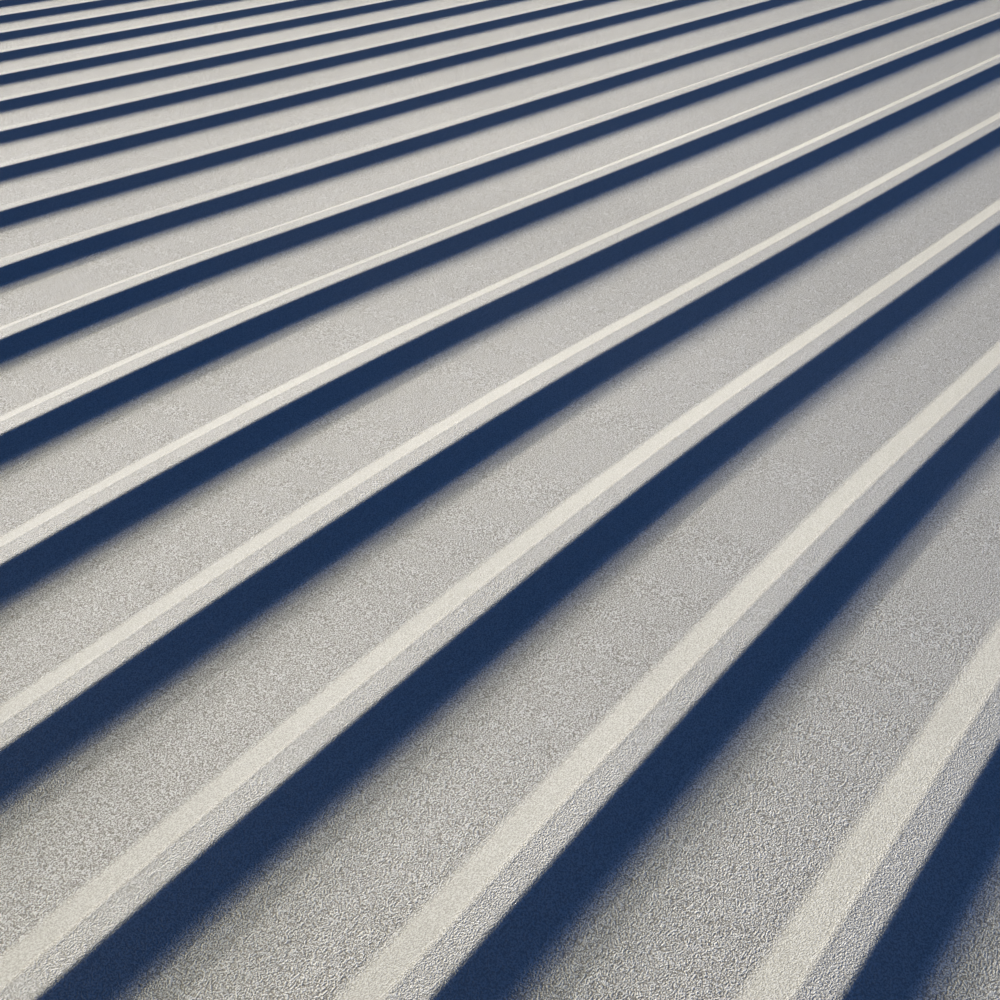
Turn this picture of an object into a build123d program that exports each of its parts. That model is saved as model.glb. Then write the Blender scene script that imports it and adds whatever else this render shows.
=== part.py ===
from build123d import *
import math
import os

os.makedirs("parts", exist_ok=True)

# Section across the ribs, measured on the upper face
rib_count = 21
rib_pitch = 50.0
rib_height = 3.0
crown_width = 6.0
flank_width = 7.5
sheet_thickness = 0.6
crown_bend_radius = 3.0
foot_bend_radius = 5.0

# Shape along the ribs: a straight run, then an end rolled downwards
straight_length = 1500.0
rolled_length = 500.0
rolling_radius = 2080.0

# The side edges are cut half a pan outside the outermost ribs
half_width = rib_count * rib_pitch / 2
first_rib = rib_pitch / 2 - half_width
rib_centres = [first_rib + number * rib_pitch for number in range(rib_count)]

# Corners of a rib on the upper face, as distances from its centre
outer_crown = crown_width / 2
outer_foot = outer_crown + flank_width

# The underside runs parallel to the upper face, so its corners sit nearer the rib's centre
flank_angle = math.atan2(rib_height, flank_width)
corner_shift = sheet_thickness * math.tan(flank_angle / 2)
inner_crown = outer_crown - corner_shift
inner_foot = outer_foot - corner_shift
inner_foot_radius = foot_bend_radius + sheet_thickness
inner_crown_radius = crown_bend_radius - sheet_thickness

# The sheet lies on the lower edges of its two ends, and this lean brings both to the floor
rolled_angle = rolled_length / rolling_radius
ends_drop = rolling_radius * (1 - math.cos(rolled_angle))
ends_span = straight_length + rolling_radius * math.sin(rolled_angle)
lean = math.degrees(math.atan2(ends_drop, ends_span))


def rib_corners(crown, foot, level):
    """Return the corners of one face of every rib, from one side edge to the other."""
    corners = [(-half_width, level)]
    for centre in rib_centres:
        corners += [
            (centre - foot, level),
            (centre - crown, level + rib_height),
            (centre + crown, level + rib_height),
            (centre + foot, level),
        ]
    return corners + [(half_width, level)]


# The section stands across the sheet, where the straight run meets the rolled end
with BuildSketch(Plane.YZ) as sheet_section:
    with BuildLine():
        underside = FilletPolyline(
            *rib_corners(inner_crown, inner_foot, 0),
            radius=[inner_foot_radius, inner_crown_radius, inner_crown_radius, inner_foot_radius] * rib_count,
        )
        upper_face = FilletPolyline(
            *rib_corners(outer_crown, outer_foot, sheet_thickness),
            radius=[foot_bend_radius, crown_bend_radius, crown_bend_radius, foot_bend_radius] * rib_count,
        )
        Line(underside @ 0, upper_face @ 0)
        Line(underside @ 1, upper_face @ 1)
    make_face()

with BuildPart() as formed_sheet:
    extrude(sheet_section.sketch, amount=straight_length)
    roll_axis = Axis((0, 0, -rolling_radius), (0, -1, 0))
    revolve(sheet_section.sketch, axis=roll_axis, revolution_arc=math.degrees(rolled_angle))

# At rest the sheet leans onto both ends, with its box centred over the origin
resting_sheet = formed_sheet.part.rotate(Axis.Y, lean)
resting_box = resting_sheet.bounding_box()
with BuildPart() as ribbed_sheet:
    with Locations((-resting_box.center().X, 0, -resting_box.min.Z)):
        add(resting_sheet)

ribbed_sheet.part.label = "ribbed_sheet"
export_step(ribbed_sheet.part, "parts/ribbed_sheet.step")
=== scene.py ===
"""Looks of a ribbed metal sheet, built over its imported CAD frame.

One rolled sheet of silver-grey coated metal lies on a pale floor: a straight run, then an end
rolled gently downwards. This script models the sheet again with finer facets round its bends than
the frame's mesh has, gives it its pebbled coating, its plain back coat and its bare cut edges, and
sets the floor, the lights and the camera.
"""

import logging
import math
from dataclasses import dataclass
from enum import Enum
from typing import Callable

import bmesh
import bpy
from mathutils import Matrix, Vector


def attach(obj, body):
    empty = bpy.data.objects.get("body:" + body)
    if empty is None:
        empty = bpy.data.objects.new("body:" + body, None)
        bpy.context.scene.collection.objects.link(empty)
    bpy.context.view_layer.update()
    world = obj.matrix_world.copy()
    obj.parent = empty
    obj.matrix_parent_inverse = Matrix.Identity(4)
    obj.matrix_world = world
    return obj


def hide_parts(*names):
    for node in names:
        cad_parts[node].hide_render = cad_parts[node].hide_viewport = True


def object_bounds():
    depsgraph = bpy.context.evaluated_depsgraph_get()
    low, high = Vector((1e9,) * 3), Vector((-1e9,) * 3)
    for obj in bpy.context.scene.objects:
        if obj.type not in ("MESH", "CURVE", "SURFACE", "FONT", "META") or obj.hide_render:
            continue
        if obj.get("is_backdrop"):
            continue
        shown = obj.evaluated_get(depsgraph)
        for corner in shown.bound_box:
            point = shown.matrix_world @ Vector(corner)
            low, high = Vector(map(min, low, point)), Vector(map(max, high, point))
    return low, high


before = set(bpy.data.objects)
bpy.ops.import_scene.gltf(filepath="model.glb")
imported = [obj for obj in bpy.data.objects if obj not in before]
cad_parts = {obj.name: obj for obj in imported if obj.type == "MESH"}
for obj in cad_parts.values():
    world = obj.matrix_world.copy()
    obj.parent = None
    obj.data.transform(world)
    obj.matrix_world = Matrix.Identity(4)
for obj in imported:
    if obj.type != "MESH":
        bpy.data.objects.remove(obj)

Colour = tuple[float, float, float]
Span = tuple[float, float]

log = logging.getLogger("ribbed_sheet")

NODE = "ribbed_sheet"

# The whole range of a mask, and the range where most of a noise's values lie
FULL: Span = (0.0, 1.0)
NOISE_BULK: Span = (0.3, 0.7)


@dataclass(frozen=True)
class SheetSizes:
    """Sizes of the sheet in metres, the same ones that the CAD source names."""

    rib_count: int = 21
    rib_pitch: float = 0.050
    rib_height: float = 0.003
    crown_width: float = 0.006
    flank_width: float = 0.0075
    thickness: float = 0.0006
    crown_bend_radius: float = 0.003
    foot_bend_radius: float = 0.005
    straight_length: float = 1.5
    rolled_length: float = 0.5
    rolling_radius: float = 2.08

    @property
    def first_rib(self) -> float:
        """Place of the first rib's centre line across the sheet."""
        return -(self.rib_count - 1) * self.rib_pitch / 2

    @property
    def crown_edge(self) -> float:
        """Distance from a rib's centre to the corner of its crown."""
        return self.crown_width / 2

    @property
    def foot_edge(self) -> float:
        """Distance from a rib's centre to the foot of its flank."""
        return self.crown_edge + self.flank_width

    @property
    def flank_angle(self) -> float:
        """Slope of a flank in radians."""
        return math.atan2(self.rib_height, self.flank_width)

    @property
    def rolled_angle(self) -> float:
        """Angle that the rolled end turns through, in radians."""
        return self.rolled_length / self.rolling_radius

    @property
    def lean(self) -> float:
        """Find the angle that brings the lower edges of both ends to the floor.

        Returns:
            The angle in radians.
        """
        drop = self.rolling_radius * (1 - math.cos(self.rolled_angle))
        span = self.straight_length + self.rolling_radius * math.sin(self.rolled_angle)
        return math.atan2(drop, span)


class Side(Enum):
    """Which surface of the sheet a material covers, as its slot on the mesh."""

    COAT = 0
    BACK = 1
    CUT = 2


def clear_selection() -> None:
    """Leave edit mode and deselect every object."""
    if bpy.context.mode != "OBJECT":
        bpy.ops.object.mode_set(mode="OBJECT")
    bpy.ops.object.select_all(action="DESELECT")


def make_active(obj: bpy.types.Object) -> None:
    """Select one object alone and make it active.

    Args:
        obj: The object that the next operators act on.
    """
    clear_selection()
    obj.select_set(True)
    bpy.context.view_layer.objects.active = obj


def select_edges(obj: bpy.types.Object, wanted: Callable[[Vector, Vector], bool]) -> None:
    """Select the edges of a mesh in edit mode by the places of their two ends.

    Args:
        obj: The object whose mesh is being edited.
        wanted: Takes the two ends of an edge and says whether it is selected.
    """
    bpy.ops.mesh.select_mode(type="EDGE")
    bpy.ops.mesh.select_all(action="DESELECT")
    shape = bmesh.from_edit_mesh(obj.data)
    for edge in shape.edges:
        if wanted(edge.verts[0].co, edge.verts[1].co):
            edge.select_set(True)
    bmesh.update_edit_mesh(obj.data)


def apply_modifier(obj: bpy.types.Object, kind: str, **settings: object) -> None:
    """Add a modifier with its settings and apply it.

    Args:
        obj: The object that gets the modifier.
        kind: The type of modifier, such as "SOLIDIFY".
        settings: The modifier's own properties by name.
    """
    make_active(obj)
    modifier = obj.modifiers.new(kind.title(), kind)
    for name, value in settings.items():
        setattr(modifier, name, value)
    bpy.ops.object.modifier_apply(modifier=modifier.name)


@dataclass
class RibbedSheet:
    """The rolled sheet: one rib is pressed, repeated across, rolled at one end and given its wall.

    The steps are the facets round each bend at a rib's foot and crown, and along the rolled end.
    Points nearer to each other than the tolerance, in metres, count as one. Edges that turn by
    more than the sharp angle, in degrees, stay sharp.
    """

    sizes: SheetSizes
    foot_steps: int = 8
    crown_steps: int = 4
    rolled_steps: int = 40
    tolerance: float = 1e-5
    sharp_angle: float = 30.0
    obj: bpy.types.Object | None = None

    def build(self, materials: dict[Side, bpy.types.Material]) -> bpy.types.Object:
        """Model the sheet and dress it.

        Args:
            materials: The material of each surface.

        Returns:
            The finished sheet, which rides on the frame's body.
        """
        self.cut_blank()
        self.press_rib()
        self.round_bends()
        self.repeat_rib()
        self.roll_end()
        self.give_wall()
        self.lay_down()
        self.smooth_faces()
        for side in Side:
            self.obj.data.materials.append(materials[side])
        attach(self.obj, "root")
        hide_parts(NODE)
        return self.obj

    def cut_blank(self) -> None:
        """Add the flat blank of the first rib and its two half pans, along the straight run."""
        size = self.sizes
        clear_selection()
        bpy.ops.mesh.primitive_plane_add(size=1, location=(0, 0, 0))
        self.obj = bpy.context.active_object
        self.obj.name = "sheet"
        self.obj.scale = (size.straight_length, size.rib_pitch, 1)
        self.obj.location = (size.straight_length / 2, size.first_rib, size.thickness)
        bpy.ops.object.transform_apply(location=True, rotation=True, scale=True)

    def press_rib(self) -> None:
        """Score the blank along the rib's bend lines and lift its crown."""
        size = self.sizes
        make_active(self.obj)
        bpy.ops.object.mode_set(mode="EDIT")
        for offset in (-size.foot_edge, -size.crown_edge, size.crown_edge, size.foot_edge):
            bpy.ops.mesh.select_all(action="SELECT")
            bpy.ops.mesh.bisect(plane_co=(0, size.first_rib + offset, 0), plane_no=(0, 1, 0))
        limit = size.crown_edge + self.tolerance
        select_edges(self.obj, lambda a, b: max(abs(p.y - size.first_rib) for p in (a, b)) < limit)
        bpy.ops.transform.translate(value=(0, 0, size.rib_height))
        bpy.ops.object.mode_set(mode="OBJECT")

    def round_bends(self) -> None:
        """Round the four bend lines, wide at the feet and tight at the crown."""
        size = self.sizes
        tangent_share = math.tan(size.flank_angle / 2)
        bends = (
            (size.foot_edge, size.foot_bend_radius, self.foot_steps),
            (size.crown_edge, size.crown_bend_radius, self.crown_steps),
        )
        make_active(self.obj)
        bpy.ops.object.mode_set(mode="EDIT")
        for place, radius, steps in bends:
            select_edges(
                self.obj,
                lambda a, b: all(
                    abs(abs(p.y - size.first_rib) - place) < self.tolerance for p in (a, b)
                ),
            )
            bpy.ops.mesh.bevel(
                offset_type="OFFSET",
                offset=radius * tangent_share,
                segments=steps,
                profile=0.5,
                affect="EDGES",
                clamp_overlap=False,
            )
        bpy.ops.object.mode_set(mode="OBJECT")

    def repeat_rib(self) -> None:
        """Repeat the rib across the sheet, each half pan joined to the next."""
        apply_modifier(
            self.obj,
            "ARRAY",
            count=self.sizes.rib_count,
            use_relative_offset=False,
            use_constant_offset=True,
            constant_offset_displace=(0, self.sizes.rib_pitch, 0),
            use_merge_vertices=True,
            merge_threshold=self.tolerance,
        )

    def roll_end(self) -> None:
        """Spin the end at the origin round the rolling axis, away from the straight run."""
        size = self.sizes
        make_active(self.obj)
        bpy.ops.object.mode_set(mode="EDIT")
        select_edges(self.obj, lambda a, b: max(abs(a.x), abs(b.x)) < self.tolerance)
        bpy.ops.mesh.spin(
            steps=self.rolled_steps,
            angle=size.rolled_angle,
            center=(0, 0, -size.rolling_radius),
            axis=(0, 1, 0),
        )
        bpy.ops.mesh.select_all(action="SELECT")
        bpy.ops.mesh.remove_doubles(threshold=self.tolerance)
        bpy.ops.mesh.normals_make_consistent(inside=False)
        bpy.ops.object.mode_set(mode="OBJECT")
        if self.obj.data.polygons[0].normal.z < 0:
            self.obj.data.flip_normals()

    def give_wall(self) -> None:
        """Give the sheet its thickness below the upper face, with its back and cut edges."""
        apply_modifier(
            self.obj,
            "SOLIDIFY",
            thickness=self.sizes.thickness,
            offset=-1,
            use_even_offset=True,
            material_offset=Side.BACK.value,
            material_offset_rim=Side.CUT.value,
        )

    def lay_down(self) -> None:
        """Lean the sheet onto both of its ends and centre it over the origin."""
        self.obj.rotation_euler = (0, self.sizes.lean, 0)
        make_active(self.obj)
        bpy.ops.object.transform_apply(location=True, rotation=True, scale=True)
        places = [vertex.co for vertex in self.obj.data.vertices]
        middle = (min(p.x for p in places) + max(p.x for p in places)) / 2
        self.obj.location = (-middle, 0, -min(p.z for p in places))
        bpy.ops.object.transform_apply(location=True, rotation=True, scale=True)

    def smooth_faces(self) -> None:
        """Shade the bends smooth, and keep the flats flat and the cut edges sharp."""
        make_active(self.obj)
        bpy.ops.object.shade_smooth_by_angle(angle=math.radians(self.sharp_angle))
        apply_modifier(self.obj, "WEIGHTED_NORMAL", mode="FACE_AREA", keep_sharp=True)


@dataclass
class NodeTree:
    """A short way to add nodes to a tree and join them, with the material that owns it, if any."""

    tree: bpy.types.NodeTree
    material: bpy.types.Material | None = None

    def add(self, kind: str, **values: object) -> bpy.types.Node:
        """Add a node and set its properties and input sockets.

        Args:
            kind: The node's type, such as "ShaderNodeTexNoise".
            values: A property's value by name, or an input's by name.

        Returns:
            The new node.
        """
        node = self.tree.nodes.new(kind)
        for name, value in values.items():
            if hasattr(node, name):
                setattr(node, name, value)
            else:
                node.inputs[name].default_value = value
        return node

    def join(self, start: bpy.types.NodeSocket, end: bpy.types.NodeSocket) -> None:
        """Join an output socket to an input socket."""
        self.tree.links.new(start, end)

    def feed(self, value: object, end: bpy.types.NodeSocket) -> None:
        """Give an input socket a plain value or another node's output.

        Args:
            value: A number, a colour as three numbers, or an output socket.
            end: The input socket.
        """
        if isinstance(value, bpy.types.NodeSocket):
            self.join(value, end)
        elif isinstance(value, tuple) and end.type == "RGBA":
            end.default_value = (*value, 1.0)
        else:
            end.default_value = value

    def calculate(self, operation: str, *values: object) -> bpy.types.NodeSocket:
        """Add a maths node.

        Args:
            operation: The node's operation, such as "MULTIPLY".
            values: Its one or two inputs, as numbers or sockets.

        Returns:
            The node's result.
        """
        node = self.add("ShaderNodeMath", operation=operation)
        for value, end in zip(values, node.inputs):
            self.feed(value, end)
        return node.outputs[0]

    def blend(self, mask: bpy.types.NodeSocket, first: object, second: object,
              how: str = "MIX") -> bpy.types.NodeSocket:
        """Mix two colours.

        Args:
            mask: Says where the second colour shows.
            first: A colour, as three numbers or a socket.
            second: A colour, as three numbers or a socket.
            how: "MIX" to cover the first colour, or "MULTIPLY" to tint it.

        Returns:
            The mixed colour.
        """
        node = self.add("ShaderNodeMix", data_type="RGBA", blend_type=how)
        factor, start, end = (
            next(socket for socket in node.inputs if socket.identifier == identifier)
            for identifier in ("Factor_Float", "A_Color", "B_Color")
        )
        self.join(mask, factor)
        self.feed(first, start)
        self.feed(second, end)
        return next(socket for socket in node.outputs if socket.type == "RGBA")

    def span(self, value: bpy.types.NodeSocket, source: Span,
             target: Span = FULL) -> bpy.types.NodeSocket:
        """Map one range of a value onto another.

        Args:
            value: The value to map.
            source: The two ends of the range that it is taken from.
            target: The two values that these ends become.

        Returns:
            The mapped value, which stays within the target.
        """
        node = self.add("ShaderNodeMapRange", clamp=True)
        self.join(value, node.inputs["Value"])
        node.inputs["From Min"].default_value, node.inputs["From Max"].default_value = source
        node.inputs["To Min"].default_value, node.inputs["To Max"].default_value = target
        return node.outputs["Result"]

    def noise(self, scale: float, detail: float,
              stretch: tuple[float, float, float] = (1.0, 1.0, 1.0)) -> bpy.types.NodeSocket:
        """Add noise that stays with the sheet.

        Args:
            scale: Cells to the metre.
            detail: How many finer layers it has.
            stretch: Factors on the scale along x, y and z.

        Returns:
            The noise, from 0 to 1.
        """
        place = self.add("ShaderNodeTexCoord")
        mapping = self.add("ShaderNodeMapping", Scale=stretch)
        self.join(place.outputs["Object"], mapping.inputs["Vector"])
        texture = self.add("ShaderNodeTexNoise", Scale=scale, Detail=detail)
        self.join(mapping.outputs["Vector"], texture.inputs["Vector"])
        return texture.outputs["Fac"]

    def group(self, tree: bpy.types.NodeTree, **values: float) -> bpy.types.NodeSocket:
        """Place a shared group with its own values.

        Args:
            tree: The group's tree.
            values: The value of each of its inputs by name.

        Returns:
            The group's one output.
        """
        node = self.add("ShaderNodeGroup", node_tree=tree)
        for name, value in values.items():
            node.inputs[name].default_value = value
        return node.outputs[0]

    def bump(self, height: bpy.types.NodeSocket, distance: float, shader: bpy.types.Node,
             filter_width: float = 0.02) -> None:
        """Raise a shader's surface by a height from 0 to 1.

        Args:
            height: The height.
            distance: What a height of 1 stands for, in metres.
            shader: The shader whose normal is bent.
            filter_width: Pixels that a slope is measured over. Few of them keep a fine grain deep.
        """
        node = self.add("ShaderNodeBump", Strength=1.0, Distance=distance)
        node.inputs["Filter Width"].default_value = filter_width
        self.join(height, node.inputs["Height"])
        self.join(node.outputs["Normal"], shader.inputs["Normal"])

    def leave(self, value: bpy.types.NodeSocket) -> None:
        """Make a value the one output of a group."""
        self.join(value, self.add("NodeGroupOutput").inputs[0])


def new_material(name: str) -> tuple[NodeTree, bpy.types.Node]:
    """Start a material.

    Args:
        name: The material's name.

    Returns:
        Its node tree, and its shader.
    """
    made = bpy.data.materials.new(name)
    made.use_nodes = True
    return NodeTree(made.node_tree, made), made.node_tree.nodes["Principled BSDF"]


def new_group(name: str, inputs: tuple[str, ...], output: str) -> tuple[NodeTree, bpy.types.Node]:
    """Start a shader node group with number sockets.

    Args:
        name: The group's name.
        inputs: The names of its inputs.
        output: The name of its one output.

    Returns:
        The group's tree, and its input node.
    """
    group = bpy.data.node_groups.new(name, "ShaderNodeTree")
    for socket in inputs:
        group.interface.new_socket(socket, in_out="INPUT", socket_type="NodeSocketFloat")
    group.interface.new_socket(output, in_out="OUTPUT", socket_type="NodeSocketFloat")
    nodes = NodeTree(group)
    return nodes, nodes.add("NodeGroupInput")


class SharedEffects:
    """The node groups that the materials place with their own values, each built once."""

    CHIPS_PER_METRE = 420.0
    CHIP_CONTRAST = 3.0

    # Half of a soft edge's width lies on each side of it
    ACROSS_EDGE: Span = (-0.5, 0.5)

    def __init__(self, half_length: float, half_width: float, rib_pitch: float) -> None:
        """Build the groups.

        Args:
            half_length: Distance from the sheet's middle to its ends, in metres.
            half_width: Distance from the sheet's middle to its side edges, in metres.
            rib_pitch: Distance from rib to rib, in metres.
        """
        self.relief = self.relief_group()
        self.specks = self.speck_group()
        self.rim = self.rim_group(half_length, half_width)
        self.band = self.band_group(rib_pitch)

    def relief_group(self) -> bpy.types.NodeTree:
        """Build the fine pebbled relief of a coating, for the size of its grain in metres.

        Returns:
            A group whose output is the relief's height, from 0 to 1.
        """
        nodes, entry = new_group("pebbled_relief", ("Grain",), "Height")
        place = nodes.add("ShaderNodeTexCoord")
        per_metre = nodes.calculate("DIVIDE", 1.0, entry.outputs["Grain"])
        pebbles = nodes.add("ShaderNodeTexNoise", Detail=1.0, Roughness=0.5, Distortion=0.3)
        nodes.join(place.outputs["Object"], pebbles.inputs["Vector"])
        nodes.join(per_metre, pebbles.inputs["Scale"])
        nodes.leave(pebbles.outputs["Fac"])
        return nodes.tree

    def speck_group(self) -> bpy.types.NodeTree:
        """Build sparse round specks, for their spacing in metres and their largest share of it.

        Returns:
            A group whose output is a mask of the specks.
        """
        nodes, entry = new_group("sparse_specks", ("Spacing", "Share"), "Mask")
        place = nodes.add("ShaderNodeTexCoord")
        per_metre = nodes.calculate("DIVIDE", 1.0, entry.outputs["Spacing"])
        cells = nodes.add("ShaderNodeTexVoronoi", feature="F1")
        nodes.join(place.outputs["Object"], cells.inputs["Vector"])
        nodes.join(per_metre, cells.inputs["Scale"])
        shade = nodes.add("ShaderNodeSeparateColor")
        nodes.join(cells.outputs["Color"], shade.inputs["Color"])
        reach = nodes.calculate("MULTIPLY", shade.outputs["Red"], entry.outputs["Share"])
        nodes.leave(nodes.calculate("LESS_THAN", cells.outputs["Distance"], reach))
        return nodes.tree

    def rim_group(self, half_length: float, half_width: float) -> bpy.types.NodeTree:
        """Build the ragged rim where the coat has chipped, for its greatest width in metres.

        Args:
            half_length: Distance from the sheet's middle to its ends, in metres.
            half_width: Distance from the sheet's middle to its side edges, in metres.

        Returns:
            A group whose output is a mask along the sheet's four edges.
        """
        nodes, entry = new_group("ragged_rim", ("Width",), "Mask")
        place = nodes.add("ShaderNodeTexCoord")
        parts = nodes.add("ShaderNodeSeparateXYZ")
        nodes.join(place.outputs["Object"], parts.inputs["Vector"])
        to_end = nodes.calculate("SUBTRACT", half_length, nodes.calculate("ABSOLUTE", parts.outputs["X"]))
        to_side = nodes.calculate("SUBTRACT", half_width, nodes.calculate("ABSOLUTE", parts.outputs["Y"]))
        nearest = nodes.calculate("MINIMUM", to_end, to_side)
        chips = nodes.add("ShaderNodeTexNoise", Scale=self.CHIPS_PER_METRE, Detail=3.0, Roughness=0.6)
        nodes.join(place.outputs["Object"], chips.inputs["Vector"])
        uneven = nodes.calculate("POWER", chips.outputs["Fac"], self.CHIP_CONTRAST)
        reach = nodes.calculate("MULTIPLY", uneven, entry.outputs["Width"])
        nodes.leave(nodes.calculate("LESS_THAN", nearest, reach))
        return nodes.tree

    def band_group(self, rib_pitch: float) -> bpy.types.NodeTree:
        """Build a soft band between two distances from each rib's centre line, in metres.

        Args:
            rib_pitch: Distance from rib to rib, in metres.

        Returns:
            A group whose output is a mask of the band.
        """
        nodes, entry = new_group("rib_band", ("From", "To", "Softness"), "Mask")
        place = nodes.add("ShaderNodeTexCoord")
        parts = nodes.add("ShaderNodeSeparateXYZ")
        nodes.join(place.outputs["Object"], parts.inputs["Vector"])
        away = nodes.calculate("PINGPONG", parts.outputs["Y"], rib_pitch / 2)
        past_start = nodes.calculate("SUBTRACT", away, entry.outputs["From"])
        before_end = nodes.calculate("SUBTRACT", entry.outputs["To"], away)
        inside = nodes.calculate("MINIMUM", past_start, before_end)
        soft = nodes.calculate("DIVIDE", inside, entry.outputs["Softness"])
        nodes.leave(nodes.span(soft, self.ACROSS_EDGE))
        return nodes.tree


def around(middle: float, change: float) -> Span:
    """Return the range that reaches a change to each side of a middle value."""
    return middle - change, middle + change


@dataclass(frozen=True)
class PebbledCoat:
    """Silver-grey coating with metal flake and a fine pebbled relief.

    The crowns are painted brighter, a painted highlight, and their relief is worn smoother by handling.
    The flanks are painted darker, a painted shade, and their relief is smoother too where the rolls
    put them under strain: their band starts an overlap inside the crown's edge and ends a spill
    outside the foot. The pits of the relief are painted darker, a painted shade. Lengths are in metres.
    """

    colour: Colour = (0.90, 0.90, 0.90)
    clouded: Colour = (0.86, 0.86, 0.865)
    # Painted highlight: the lighter colour of the crowns
    painted_crown_highlight: Colour = (0.905, 0.90, 0.885)
    # Painted shade: the darker tint on both flanks
    painted_flank_shade: Colour = (0.655, 0.664, 0.667)
    # Painted shade: the darker tint in the pits of the relief
    painted_pit_shade: Colour = (0.50, 0.48, 0.445)
    dust: Colour = (0.46, 0.43, 0.38)
    zinc: Colour = (0.42, 0.43, 0.44)
    roughness: float = 0.80
    roughness_change: float = 0.03
    grain: float = 0.0003
    relief: float = 0.0003
    pit_heights: Span = (0.6, 0.4)
    relief_on_crown: float = 0.65
    relief_on_flank: float = 0.6
    crown_softness: float = 0.0015
    flank_softness: float = 0.0024
    flank_overlap: float = 0.0001
    flank_spill: float = 0.0002
    clouds_per_metre: float = 5.0
    speck_spacing: float = 0.016
    speck_share: float = 0.022
    chipped_width: float = 0.006

    def material(self, effects: SharedEffects, sizes: SheetSizes) -> bpy.types.Material:
        """Make the coating's material.

        Args:
            effects: The shared node groups.
            sizes: The sheet's sizes, which place the crowns and flanks.

        Returns:
            The material.
        """
        nodes, shader = new_material("pebbled_silver_coat")
        relief = nodes.group(effects.relief, Grain=self.grain)
        specks = nodes.group(effects.specks, Spacing=self.speck_spacing, Share=self.speck_share)
        rim = nodes.group(effects.rim, Width=self.chipped_width)

        # The crown's band starts past the rib's centre line, so that it has no inner edge
        crown = nodes.group(
            effects.band, From=-sizes.rib_pitch, To=sizes.crown_edge, Softness=self.crown_softness
        )
        flank = nodes.group(
            effects.band,
            From=sizes.crown_edge - self.flank_overlap,
            To=sizes.foot_edge + self.flank_spill,
            Softness=self.flank_softness,
        )
        clouds = nodes.noise(scale=self.clouds_per_metre, detail=3.0)

        # The relief is worn down on the crowns and rolled down on the flanks
        rubbed_down = nodes.span(crown, FULL, (1.0, self.relief_on_crown))
        rolled_down = nodes.span(flank, FULL, (1.0, self.relief_on_flank))
        left_standing = nodes.calculate("MULTIPLY", rubbed_down, rolled_down)
        # The relief's pits, which get a painted shade below
        shaded_pits = nodes.calculate("MULTIPLY", nodes.span(relief, self.pit_heights), left_standing)

        clouded = nodes.blend(clouds, self.colour, self.clouded)
        # Painted highlight on the crowns
        crown_highlighted = nodes.blend(crown, clouded, self.painted_crown_highlight)
        # Painted shade on both flanks
        flank_shaded = nodes.blend(flank, crown_highlighted, self.painted_flank_shade, how="MULTIPLY")
        # Painted shade in the pits of the relief
        pebbled = nodes.blend(shaded_pits, flank_shaded, self.painted_pit_shade, how="MULTIPLY")
        dusted = nodes.blend(specks, pebbled, self.dust)
        nodes.join(nodes.blend(rim, dusted, self.zinc), shader.inputs["Base Color"])

        shader.inputs["Metallic"].default_value = 1.0
        rough = nodes.span(clouds, NOISE_BULK, around(self.roughness, self.roughness_change))
        nodes.join(rough, shader.inputs["Roughness"])
        centred = nodes.calculate("SUBTRACT", relief, 0.5)
        nodes.bump(nodes.calculate("MULTIPLY", centred, left_standing), self.relief, shader)
        return nodes.material


@dataclass(frozen=True)
class BackCoat:
    """Thin grey primer on the underside, with faint streaks along the rolling direction.

    Lengths are in metres.
    """

    colour: Colour = (0.46, 0.46, 0.445)
    streaked: Colour = (0.36, 0.365, 0.36)
    scuffed: Colour = (0.60, 0.595, 0.58)
    zinc: Colour = (0.42, 0.43, 0.44)
    roughness: float = 0.58
    roughness_change: float = 0.08
    grain: float = 0.0003
    relief: float = 0.000008
    streaks_per_metre: tuple[float, float, float] = (1.2, 90.0, 90.0)
    streak_range: Span = (0.35, 0.7)
    scuffs_per_metre: float = 4.0
    scuff_range: Span = (0.5, 0.8)
    scuff_strength: float = 0.8
    speck_spacing: float = 0.011
    speck_share: float = 0.03
    chipped_width: float = 0.010

    def material(self, effects: SharedEffects) -> bpy.types.Material:
        """Make the back coat's material.

        Args:
            effects: The shared node groups.

        Returns:
            The material.
        """
        nodes, shader = new_material("grey_back_coat")
        relief = nodes.group(effects.relief, Grain=self.grain)
        specks = nodes.group(effects.specks, Spacing=self.speck_spacing, Share=self.speck_share)
        rim = nodes.group(effects.rim, Width=self.chipped_width)
        streaks = nodes.noise(scale=1.0, detail=4.0, stretch=self.streaks_per_metre)
        clouds = nodes.noise(scale=self.scuffs_per_metre, detail=4.0)
        scuffs = nodes.span(clouds, self.scuff_range, (0.0, self.scuff_strength))

        streaked = nodes.blend(nodes.span(streaks, self.streak_range), self.colour, self.streaked)
        scuffed = nodes.blend(scuffs, streaked, self.scuffed)
        speckled = nodes.blend(specks, scuffed, self.streaked)
        nodes.join(nodes.blend(rim, speckled, self.zinc), shader.inputs["Base Color"])

        nodes.join(rim, shader.inputs["Metallic"])
        rough = nodes.span(clouds, NOISE_BULK, around(self.roughness, self.roughness_change))
        nodes.join(rough, shader.inputs["Roughness"])
        nodes.bump(relief, self.relief, shader)
        return nodes.material


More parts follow.
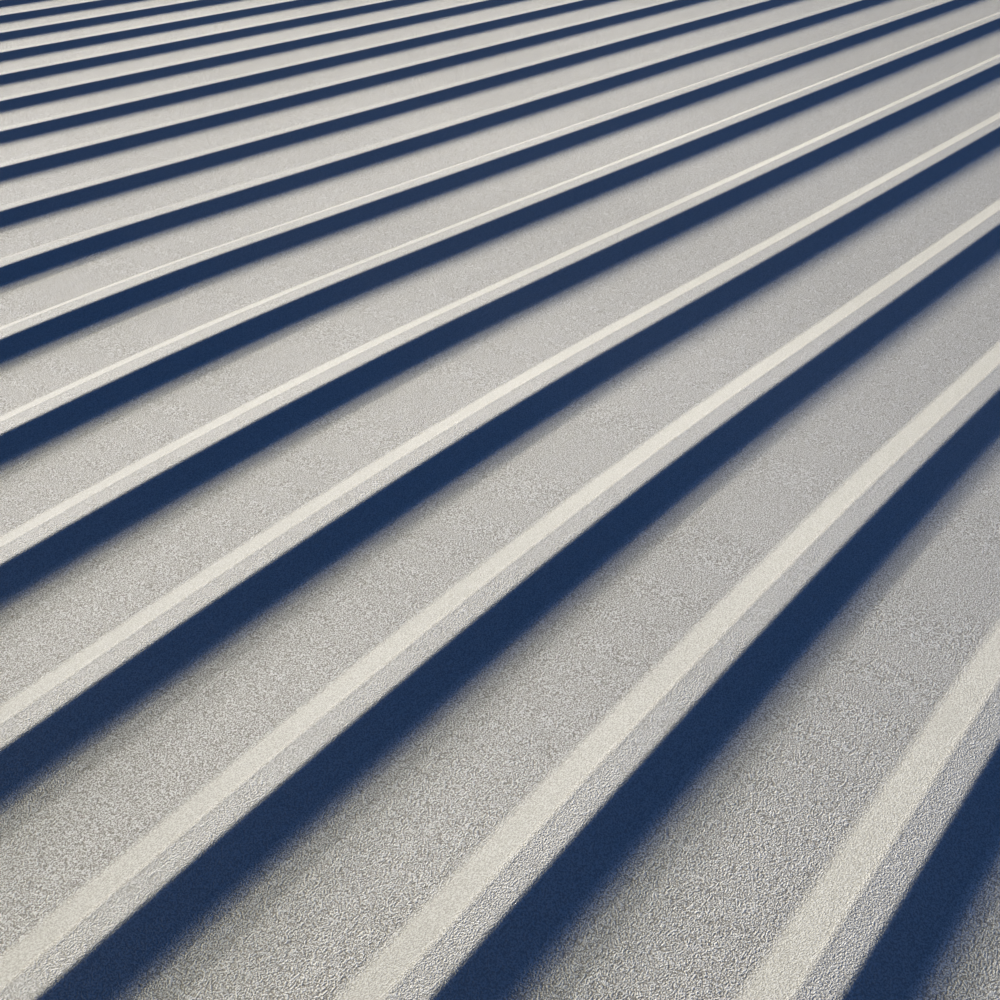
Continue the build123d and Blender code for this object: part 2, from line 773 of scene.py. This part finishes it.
@dataclass(frozen=True)
class CutEdge:
    """Bare steel and zinc where the sheet was sheared, with a few specks of rust.

    Lengths are in metres.
    """

    zinc: Colour = (0.50, 0.51, 0.52)
    steel: Colour = (0.30, 0.30, 0.31)
    rust: Colour = (0.20, 0.085, 0.035)
    roughness_range: Span = (0.32, 0.57)
    relief: float = 0.00002
    marks_per_metre: tuple[float, float, float] = (2600.0, 2600.0, 500.0)
    mark_range: Span = (0.35, 0.65)
    rust_spacing: float = 0.004
    rust_share: float = 0.22

    def material(self, effects: SharedEffects) -> bpy.types.Material:
        """Make the cut edge's material.

        Args:
            effects: The shared node groups.

        Returns:
            The material.
        """
        nodes, shader = new_material("bare_cut_edge")
        specks = nodes.group(effects.specks, Spacing=self.rust_spacing, Share=self.rust_share)
        marks = nodes.noise(scale=1.0, detail=3.0, stretch=self.marks_per_metre)
        sheared = nodes.blend(nodes.span(marks, self.mark_range), self.zinc, self.steel)
        nodes.join(nodes.blend(specks, sheared, self.rust), shader.inputs["Base Color"])
        nodes.join(nodes.span(specks, FULL, (1.0, 0.0)), shader.inputs["Metallic"])
        nodes.join(nodes.span(marks, NOISE_BULK, self.roughness_range), shader.inputs["Roughness"])
        nodes.bump(marks, self.relief, shader)
        return nodes.material


@dataclass(frozen=True)
class Lamp:
    """One distant lamp: where it stands round the sheet, in degrees, its strength and its colour."""

    name: str
    azimuth: float
    strength: float
    colour: Colour


@dataclass(frozen=True)
class LampRow:
    """Lamps of one shadow angle, so that the shadows they throw behind a rib end on one line.

    The shadow angle is how steeply their light falls when seen along the ribs, and the spread is
    how wide each lamp looks from the sheet, both in degrees.
    """

    shadow_angle: float
    spread: float
    lamps: tuple[Lamp, ...]

    def add(self) -> None:
        """Add the row's lamps, each aimed at the sheet."""
        for lamp in self.lamps:
            turn = math.radians(lamp.azimuth)
            rise = math.atan(math.tan(math.radians(self.shadow_angle)) * math.sin(turn))
            towards = Vector(
                (math.cos(turn) * math.cos(rise), math.sin(turn) * math.cos(rise), math.sin(rise))
            )
            data = bpy.data.lights.new(lamp.name, "SUN")
            data.angle = math.radians(self.spread)
            data.energy = lamp.strength
            data.color = lamp.colour
            light = bpy.data.objects.new(lamp.name, data)
            light.rotation_euler = (-towards).to_track_quat("-Z", "Y").to_euler()
            bpy.context.scene.collection.objects.link(light)


@dataclass(frozen=True)
class Studio:
    """The pale floor, the blue light of the room that fills the shadows, and the low lamps."""

    floor_colour: Colour = (0.62, 0.62, 0.61)
    floor_size: float = 40.0
    room_colour: Colour = (0.025, 0.075, 0.21)
    room_strength: float = 1.0
    lamp_rows: tuple[LampRow, ...] = (
        LampRow(
            shadow_angle=11.9,
            spread=1.2,
            lamps=(
                Lamp("sun_far_side", azimuth=70, strength=1.09, colour=(1.0, 0.95, 0.87)),
                Lamp("sun_side", azimuth=130, strength=1.60, colour=(1.0, 0.91, 0.60)),
                Lamp("sun_front", azimuth=35, strength=0.59, colour=(1.0, 0.93, 0.84)),
            ),
        ),
        LampRow(
            shadow_angle=16.5,
            spread=8,
            lamps=(
                Lamp("glow_side", azimuth=135, strength=1.47, colour=(1.0, 0.82, 0.27)),
                Lamp("glow_far_side", azimuth=60, strength=0.88, colour=(1.0, 0.93, 0.75)),
                Lamp("glow_front", azimuth=45, strength=0.49, colour=(1.0, 0.89, 0.58)),
                Lamp("glow_ahead", azimuth=30, strength=0.41, colour=(1.0, 0.94, 0.80)),
            ),
        ),
        LampRow(
            shadow_angle=9.5,
            spread=4,
            lamps=(Lamp("low_far_side", azimuth=70, strength=0.58, colour=(0.91, 0.87, 1.0)),),
        ),
        LampRow(
            shadow_angle=6.5,
            spread=5,
            lamps=(Lamp("low_front", azimuth=45, strength=0.195, colour=(0.71, 0.74, 1.0)),),
        ),
    )

    def build(self) -> None:
        """Set the floor, the room's light and the lamps."""
        self.add_floor()
        self.light_room()
        for row in self.lamp_rows:
            row.add()

    def add_floor(self) -> None:
        """Lay the matt floor under the sheet."""
        clear_selection()
        bpy.ops.mesh.primitive_plane_add(size=self.floor_size, location=(0, 0, 0))
        floor = bpy.context.active_object
        floor.name = "floor"
        nodes, shader = new_material("pale_floor")
        shader.inputs["Base Color"].default_value = (*self.floor_colour, 1)
        shader.inputs["Roughness"].default_value = 1.0
        shader.inputs["Specular IOR Level"].default_value = 0.0
        floor.data.materials.append(nodes.material)
        floor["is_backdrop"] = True

    def light_room(self) -> None:
        """Give the room its even light, and show colours without a film-like curve."""
        scene = bpy.context.scene
        scene.view_settings.view_transform = "Standard"

        # The light is as blue as a clear sky's, which makes the shaded flanks navy
        scene.world = bpy.data.worlds.new("room")
        scene.world.use_nodes = True
        background = scene.world.node_tree.nodes["Background"]
        background.inputs["Color"].default_value = (*self.room_colour, 1)
        background.inputs["Strength"].default_value = self.room_strength


@dataclass(frozen=True)
class CameraView:
    """The camera of the reference view, with its place in metres, angles in degrees and lens in mm."""

    location: tuple[float, float, float] = (-0.82279, -0.39514, 0.21062)
    tilt: float = 60.005
    roll: float = 0.388
    heading: float = -53.866
    lens: float = 49.689
    sensor_width: float = 36.0
    nearest: float = 0.01

    def add(self) -> None:
        """Add the camera and make it the scene's own."""
        data = bpy.data.cameras.new("camera")
        data.lens = self.lens
        data.sensor_width = self.sensor_width
        data.clip_start = self.nearest
        camera = bpy.data.objects.new("camera", data)
        camera.location = self.location
        camera.rotation_euler = tuple(
            math.radians(angle) for angle in (self.tilt, self.roll, self.heading)
        )
        bpy.context.scene.collection.objects.link(camera)
        bpy.context.scene.camera = camera


def main() -> None:
    """Build the sheet, the studio and the camera."""
    logging.basicConfig(level=logging.INFO, format="%(name)s: %(message)s")
    cad_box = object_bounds()
    half_length, half_width, _ = cad_box[1]
    sizes = SheetSizes()
    effects = SharedEffects(half_length, half_width, sizes.rib_pitch)
    sheet = RibbedSheet(sizes).build({
        Side.COAT: PebbledCoat().material(effects, sizes),
        Side.BACK: BackCoat().material(effects),
        Side.CUT: CutEdge().material(effects),
    })
    log.info("%s: %d faces", sheet.name, len(sheet.data.polygons))
    Studio().build()
    CameraView().add()


if __name__ == "__main__":
    main()
